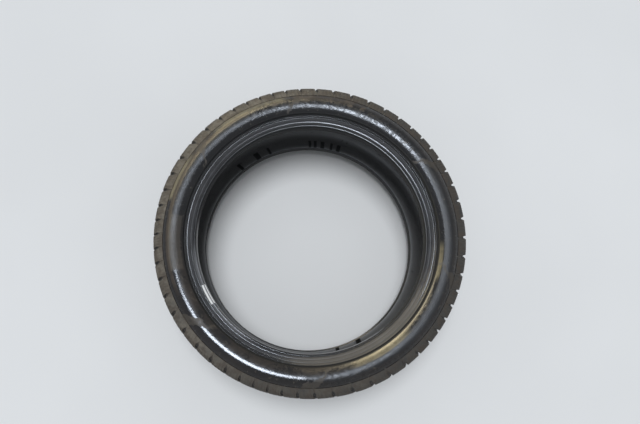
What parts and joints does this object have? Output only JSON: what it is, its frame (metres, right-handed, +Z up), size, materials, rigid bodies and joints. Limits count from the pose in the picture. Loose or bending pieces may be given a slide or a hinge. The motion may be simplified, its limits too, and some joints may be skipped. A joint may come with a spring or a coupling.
{
  "type": "worn car tyre",
  "caption": "Used low-profile radial car tyre without its wheel, lying on one sidewall, with worn shoulder blocks, open beads and a hollow air chamber.",
  "frame": {"origin": "centre of the tyre's footprint, on the ground that the lower sidewall rests on", "axes": "+Z up along the rolling axis, towards the sidewall that faces the camera; +Y towards the label-free far side, +X to the right; the paper label lies at about 209 degrees anticlockwise from +X"},
  "size_m": [0.631, 0.6308, 0.232],
  "materials": {
    "tyre_rubber": "weathered black rubber, glossy on the upper sidewall, dusty in the tread",
    "label_paper": "matt white paper, faintly printed"
  },
  "bodies": {
    "root": {"tyre": "tyre_rubber", "bead_label": "label_paper"}
  },
  "joints": []
}
